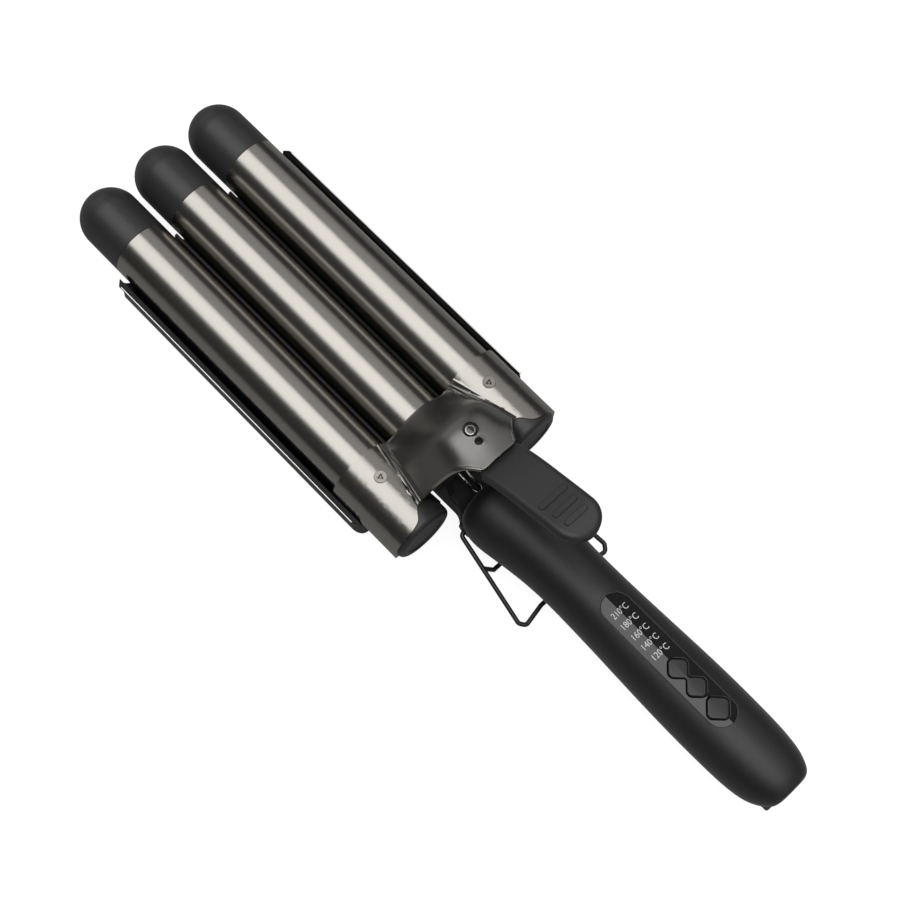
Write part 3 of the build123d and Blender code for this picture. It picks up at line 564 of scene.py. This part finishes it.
def height(tree, x, y):
    """Where a ray from above meets the shape, or None beside it."""
    hit = tree.ray_cast(Vector((x, y, RAY_START)), DOWN)[0]
    return hit.z if hit else None


def in_hole(x, y):
    return any(math.hypot(x / MM - a, (y - HINGE_Y) / MM - b) < r for a, b, r in HOLES)


def hood_grid(tree):
    """A square grid that lies on the hood, bridged over its two holes."""
    grid = bmesh.new()
    bmesh.ops.create_grid(grid, x_segments=GRID_CELLS, y_segments=GRID_CELLS, size=HOOD_REACH)
    bmesh.ops.translate(grid, verts=grid.verts, vec=(0, HOOD_MIDDLE_Y, 0))
    missed = []
    for vert in grid.verts:
        x, y = vert.co.x, vert.co.y
        z = height(tree, BESIDE_HOLES if in_hole(x, y) else x, y)
        if z is None:
            missed.append(vert)
        else:
            vert.co.z = z
    bmesh.ops.delete(grid, geom=missed, context="VERTS")
    print("hood grid", len(grid.verts), "points,", len(missed), "beside the hood")
    return grid


def smoothed_heights(saddle):
    """The hood's grid before and after smoothing, as trees to cast rays at."""
    grid = hood_grid(BVHTree.FromBMesh(saddle))
    before = BVHTree.FromBMesh(grid)
    inner = [v for v in grid.verts
             if not v.is_boundary and inside_crease(v) > KEEP_BY_CREASE]
    for _ in range(SMOOTH_ROUNDS):
        bmesh.ops.smooth_vert(grid, verts=inner, factor=0.5, use_axis_z=True)
    after = BVHTree.FromBMesh(grid)
    grid.free()
    return before, after


# %% [markdown]
# ## Stamped beads
# Two fine beads run along each crease, where the hood's wall meets a jacket, and stiffen it.
# A bump in the finish could fake them, but the mesh itself would stay smooth, so they are
# real relief: the sheet is cut finer there and its outer points are pushed out along their
# normals, most on a bead's middle line and nothing half a millimetre away from it.

# %% Beads
BEAD_MIDDLES = (0.8 * MM, 1.9 * MM)  # inwards from the crease
BEAD_HALF_W = 0.45 * MM
BEAD_HEIGHT = 0.24 * MM
BEAD_BAND = (-0.3 * MM, 2.7 * MM)
BEAD_EDGE = 0.24 * MM
BEAD_CUTS = 5
LEAST_UP = 0.02  # an outer point's normal rises at least this much


def in_bead_band(vert):
    return BEAD_BAND[0] < inside_crease(vert) < BEAD_BAND[1]


def stamp_beads(saddle):
    for _ in range(BEAD_CUTS):
        edges = [e for e in saddle.edges
                 if e.calc_length() > BEAD_EDGE and all(in_bead_band(v) for v in e.verts)]
        bmesh.ops.subdivide_edges(saddle, edges=edges, cuts=1, use_grid_fill=False)
        bmesh.ops.triangulate(saddle, faces=[f for f in saddle.faces if len(f.verts) > 3])
    saddle.normal_update()
    moves = []
    for vert in saddle.verts:
        if in_bead_band(vert) and vert.normal.z > LEAST_UP:
            away = min(abs(inside_crease(vert) - middle) for middle in BEAD_MIDDLES)
            rise = BEAD_HEIGHT * max(0.0, 1 - away / BEAD_HALF_W)
            moves.append((vert, vert.normal * rise))
    for vert, move in moves:
        vert.co += move
    print("bead points", len(moves), "saddle faces", len(saddle.faces))


# %% [markdown]
# ## The finished saddle
# The copy of the saddle gets its long edges cut, so that it can bend, then the new heights,
# then the beads. Its many slivers would each pull a point's normal their own way and show as
# chips in the gloss, so a modifier weights the normals by the faces' areas.

# %% Soft saddle
LONG_EDGE = 1.2 * MM
AREA_WEIGHT = 80


def cut_long_edges(saddle):
    long_edges = [e for e in saddle.edges
                  if e.calc_length() > LONG_EDGE and any(inside_crease(v) > 0 for v in e.verts)]
    bmesh.ops.subdivide_edges(saddle, edges=long_edges, cuts=1, use_grid_fill=False)
    print("cut", len(long_edges), "long edges")


def bend_sheet(saddle, before, after):
    """Moves the hood's points up or down as its grid was moved."""
    largest = 0.0
    for vert in saddle.verts:
        x, y = vert.co.x, vert.co.y
        old, new = height(before, x, y), height(after, x, y)
        if old is not None and new is not None and inside_crease(vert) > 0:
            vert.co.z += new - old
            largest = max(largest, abs(new - old))
    print("largest move of the sheet in mm", round(largest / MM, 2))


def soft_saddle():
    saddle = merged_copy("jaw_saddle", join_flats=False)
    before, after = smoothed_heights(saddle)
    cut_long_edges(saddle)
    bend_sheet(saddle, before, after)
    stamp_beads(saddle)
    piece = add_piece(saddle, "soft_saddle", "upper_jaw", finishes["hood_metal"])
    even = piece.modifiers.new("even_normals", "WEIGHTED_NORMAL")
    even.mode = "FACE_AREA"
    even.weight = AREA_WEIGHT
    even.keep_sharp = True
    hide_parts("jaw_saddle")
    return piece


saddle_piece = soft_saddle()

# %% [markdown]
# ## Rolled rim
# The stamping's open rear rim is rolled over on both sides of the lever. The roll is a round
# wire along the sheet's middle: points in plan are dropped on to the saddle from above and
# sunk by half its thickness, a smooth curve is led along them, and it is kept as a mesh.

# %% Wires on the saddle
RIM_PLAN = [(8.2, -18.7), (9.2, -17.2), (10.2, -15.6), (12.0, -13.5), (14.0, -11.8),
            (16.2, -10.1), (18.4, -8.4), (20.2, -7.3)]  # x and y from the hinge, in mm
HALF_SHEET = 0.55 * MM
ROLL_R = 0.72 * MM
saddle_shape = bmesh.new()
saddle_shape.from_mesh(saddle_piece.data)
saddle_tree = BVHTree.FromBMesh(saddle_shape)
saddle_shape.free()


def wire(points, radius, closed=False):
    """A round wire along a smooth curve that the points control."""
    curve = bpy.data.curves.new("wire", "CURVE")
    curve.dimensions = "3D"
    curve.bevel_depth = radius
    curve.bevel_resolution = 3
    curve.use_fill_caps = True
    spline = curve.splines.new("NURBS")
    spline.points.add(len(points) - 1)
    for point, place in zip(spline.points, points):
        point.co = (*place, 1.0)
    spline.order_u = 3
    spline.use_endpoint_u = not closed
    spline.use_cyclic_u = closed
    shape = as_bmesh(curve)
    bmesh.ops.remove_doubles(shape, verts=shape.verts, dist=MERGE)
    bmesh.ops.recalc_face_normals(shape, faces=shape.faces)
    return shape


def rim_points(side):
    points = []
    for x, y in RIM_PLAN:
        above = Vector((side * x * MM, y * MM + HINGE_Y, RAY_START))
        place, normal = saddle_tree.ray_cast(above, DOWN)[:2]
        points.append(place - normal * HALF_SHEET)
    return points


for side, hand in ((-1, "left"), (1, "right")):
    add_piece(wire(rim_points(side), ROLL_R), "rolled_rim_" + hand, "upper_jaw",
              finishes["barrel_metal"], ROUND)

# %% [markdown]
# ## Domed screw head
# The hood's screw has a domed head in dark chrome. A turned profile could make it, but a
# sphere flattened to half its height is already such a dome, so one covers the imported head.

# %% Domed head
DOME_R = 2.3 * MM
DOME_SUNK = 0.9 * MM
screw_low, screw_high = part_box("hood_screw")

dome = bmesh.new()
bmesh.ops.create_uvsphere(dome, u_segments=32, v_segments=16, radius=DOME_R)
bmesh.ops.scale(dome, verts=dome.verts, vec=(1, 1, 0.5))
bmesh.ops.translate(dome, verts=dome.verts,
                    vec=(0, (screw_low.y + screw_high.y) / 2, screw_high.z - DOME_SUNK))
add_piece(dome, "domed_screw_head", "upper_jaw", finishes["dark_chrome"], ROUND)

# %% [markdown]
# ## Jacket screws
# Each jacket screw sits in a hole of the sheet, and the gap round it lies in shade; a one-way
# drive mark is stamped in its head, and its recess lies in shade too. Both shades are painted
# as thin black wires. The ring's points take their heights from the sheet, so it follows the
# sheet's curve as a flat ring couldn't.

# %% Painted shade round the screws and in their drive marks
BARREL_PITCH = 28.2 * MM
RING_R = 2.42 * MM
GAP_SHADE_WIRE_R = 0.14 * MM
ON_THE_SHEET = 1.15  # heights are taken this much farther out, clear of the screw's hole
DRIVE_MARK = [(-1.2, 0.1), (0.4, 0.65), (0.7, 0.7), (0.65, 0.4), (0.1, -1.2)]  # mm
RECESS_SHADE_WIRE_R = 0.22 * MM
jacket_low, jacket_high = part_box("jacket_screws")


def jacket_screw_shade(x, hand):
    y = (jacket_low.y + jacket_high.y) / 2
    top = jacket_high.z
    circle = bmesh.new()
    bmesh.ops.create_circle(circle, segments=16, radius=RING_R)
    ring = []
    for across, along, _ in (v.co for v in circle.verts):
        z = height(saddle_tree, x + across * ON_THE_SHEET, y + along * ON_THE_SHEET)
        ring.append((x + across, y + along, z or top))
    circle.free()
    # Painted shade: a black ring where the gap round the screw lies in shade.
    add_piece(wire(ring, GAP_SHADE_WIRE_R, closed=True), "screw_gap_shade_" + hand, "upper_jaw",
              finishes["wire_black"], ROUND)
    # Painted shade: the drive mark's recess, which lies in shade, drawn as a black wire.
    mark = [(x + a * MM, y + b * MM, top + MARK_LIFT) for a, b in DRIVE_MARK]
    add_piece(wire(mark, RECESS_SHADE_WIRE_R), "drive_recess_shade_" + hand, "upper_jaw",
              finishes["wire_black"], ROUND)


jacket_screw_shade(-BARREL_PITCH, "left")
jacket_screw_shade(BARREL_PITCH, "right")

# %% [markdown]
# ## Painted highlight on the wave plate's edges
# Along its two long outer edges the black wave plate is rounded, and each edge carries a
# hairline highlight of the lamp. That highlight is painted: a thin wire of bright metal lies
# along each edge, though the plate there is black. A bright line in the paint would be flat,
# while a round wire catches a lamp from every side.

# %% Lips
EDGE_HIGHLIGHT_R = 0.32 * MM
LIP_IN = 0.3 * MM
LIP_SHORT = 3 * MM
LIP_STEPS = 6
LEVEL_AT_Y = 50 * MM  # the lip is level, so its height is taken once
plate_low, plate_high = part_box("lower_wave_plate")
plate_shape = merged_copy("lower_wave_plate")
plate_tree = BVHTree.FromBMesh(plate_shape)
plate_shape.free()

for hand, x in (("left", plate_low.x + LIP_IN), ("right", plate_high.x - LIP_IN)):
    rear = Vector((x, plate_low.y + LIP_SHORT, height(plate_tree, x, LEVEL_AT_Y)))
    front = Vector((x, plate_high.y - LIP_SHORT, rear.z))
    lip = [rear.lerp(front, step / LIP_STEPS) for step in range(LIP_STEPS + 1)]
    # A bright wire as painted highlight along the plate's black edge.
    add_piece(wire(lip, EDGE_HIGHLIGHT_R), "plate_edge_highlight_" + hand, "handle",
              finishes["edge_highlight_metal"], ROUND)

# %% [markdown]
# ## Painted shade round the panel
# A thin black wire lies in the gap between the panel and its recess. It is painted shade, a
# dark line where the recess lies in shade. It is one closed wire that follows the panel's
# outline: a circle of points whose front half is moved forward and whose rear half is moved
# back.

# %% Painted shade round the panel
PANEL_SHADE_R = 0.42 * MM
PANEL_SHADE_OUT = 0.16 * MM
PANEL_SHADE_SUNK = 0.12 * MM


def in_front_half(place):
    """Of the two points on the dividing line, the right one goes forward."""
    return place.y > HAIR or abs(place.y) <= HAIR and place.x > 0


def panel_gap_shade():
    circle = bmesh.new()
    bmesh.ops.create_circle(circle, segments=24, radius=panel_high.x + PANEL_SHADE_OUT)
    for vert in circle.verts:
        front, rear = panel_high.y - panel_high.x, panel_low.y + panel_high.x
        vert.co.y += front if in_front_half(vert.co) else rear
    around = [(*vert.co.xy, panel_high.z - PANEL_SHADE_SUNK) for vert in circle.verts]
    circle.free()
    # The black wire is painted shade: it stands where the gap round the panel lies in shade.
    add_piece(wire(around, PANEL_SHADE_R, closed=True), "panel_gap_shade", "handle",
              finishes["wire_black"], ROUND)


panel_gap_shade()

# %% [markdown]
# ## Floor
# The tool lies on a plain pale sheet, which glows for camera rays and so looks white to the
# camera. A brighter lamp would whiten it too, but it would bleach the metal. Where the metal
# mirrors the sheet it glows only dimly, and it still takes the tool's soft shadow.

# %% Floor
FLOOR_SIZE = 6.0
FLOOR_GAP = 0.3 * MM
WHITE_TO_CAMERA = 0.9
DIM_IN_METAL = 0.06

sheet = bmesh.new()
bmesh.ops.create_grid(sheet, x_segments=1, y_segments=1, size=FLOOR_SIZE / 2)
bmesh.ops.translate(sheet, verts=sheet.verts, vec=(0, 0, cad_low.z - FLOOR_GAP))
floor_mesh = bpy.data.meshes.new("floor")
sheet.to_mesh(floor_mesh)
sheet.free()
floor = bpy.data.objects.new("floor", floor_mesh)
bpy.context.scene.collection.objects.link(floor)

paper = Finish("floor_paper", Roughness=0.9, Base_Color=(0.26, 0.26, 0.26),
               Specular_IOR_Level=0.0, Emission_Color=(1.0, 1.0, 1.0))
by_camera = paper.node("ShaderNodeLightPath", output="Is Camera Ray")
by_gloss = paper.node("ShaderNodeLightPath", output="Is Glossy Ray")
by_glass = paper.node("ShaderNodeLightPath", output="Is Transmission Ray")
paper.set("Emission Strength",
          by_camera * WHITE_TO_CAMERA + (by_gloss + by_glass) * DIM_IN_METAL)
floor_mesh.materials.append(paper.material)
print("floor at", round(cad_low.z - FLOOR_GAP, 5))

# %% [markdown]
# ## Lamps
# One big soft lamp, a little left of overhead, draws the long bright band on every barrel. A
# small lamp would draw a thin hard line there. A weaker lamp on the right lifts the other
# flank, and a dim card beyond each end gives the rounded caps and the barrels something to
# reflect from low down.

# %% Lamps
LAMPS = {
    "key": dict(towards=(-0.139, 0.05, 0.989), distance=1.5, width=1.43, depth=2.2, power=22.6),
    "fill": dict(towards=(0.66, 0.0, 0.75), distance=1.5, width=0.92, depth=2.2, power=3.4),
    "tip_card": dict(towards=(0.0, 0.93, 0.36), distance=1.6, width=1.5, depth=0.9, power=2.6),
    "handle_card": dict(towards=(0.0, -0.93, 0.36), distance=1.6, width=1.5, depth=0.9,
                        power=2.6),
}
MOSTLY_ALONG_Y = 0.9


def soft_lamp(name, towards, distance, width, depth, power):
    """A softbox that faces the tool's middle from `towards`, its width square to Y."""
    lamp = bpy.data.lights.new(name, "AREA")
    lamp.shape = "RECTANGLE"
    lamp.size = width
    lamp.size_y = depth
    lamp.energy = power
    facing = Vector(towards).normalized()
    up = Vector((0, 1, 0)) if abs(facing.y) < MOSTLY_ALONG_Y else Vector((0, 0, 1))
    across = up.cross(facing).normalized()
    turn = Matrix((across, facing.cross(across), facing)).transposed().to_4x4()
    place = (cad_low + cad_high) / 2 + facing * distance
    holder = bpy.data.objects.new(name, lamp)
    holder.matrix_world = Matrix.Translation(place) @ turn
    bpy.context.scene.collection.objects.link(holder)
    print("lamp", name, power, "W at", [round(v, 2) for v in place])


for name, make in LAMPS.items():
    soft_lamp(name, **make)

# %% [markdown]
# ## World
# Round the lamps the studio is dark, which keeps the shadows in the metal deep. The same
# light-path trick as on the floor shows the camera plain white.

# %% World and view
STUDIO_LIGHT = 0.05
world = bpy.data.worlds.new("studio")
studio = NodeTree(world)
backdrop = studio.tree.nodes["Background"]
seen = studio.node("ShaderNodeLightPath", output="Is Camera Ray")
studio.feed(backdrop.inputs["Color"], (1.0, 1.0, 1.0))
studio.feed(backdrop.inputs["Strength"], seen * (1 - STUDIO_LIGHT) + STUDIO_LIGHT)
bpy.context.scene.world = world
bpy.context.scene.view_settings.view_transform = "Standard"
print("world light", STUDIO_LIGHT)
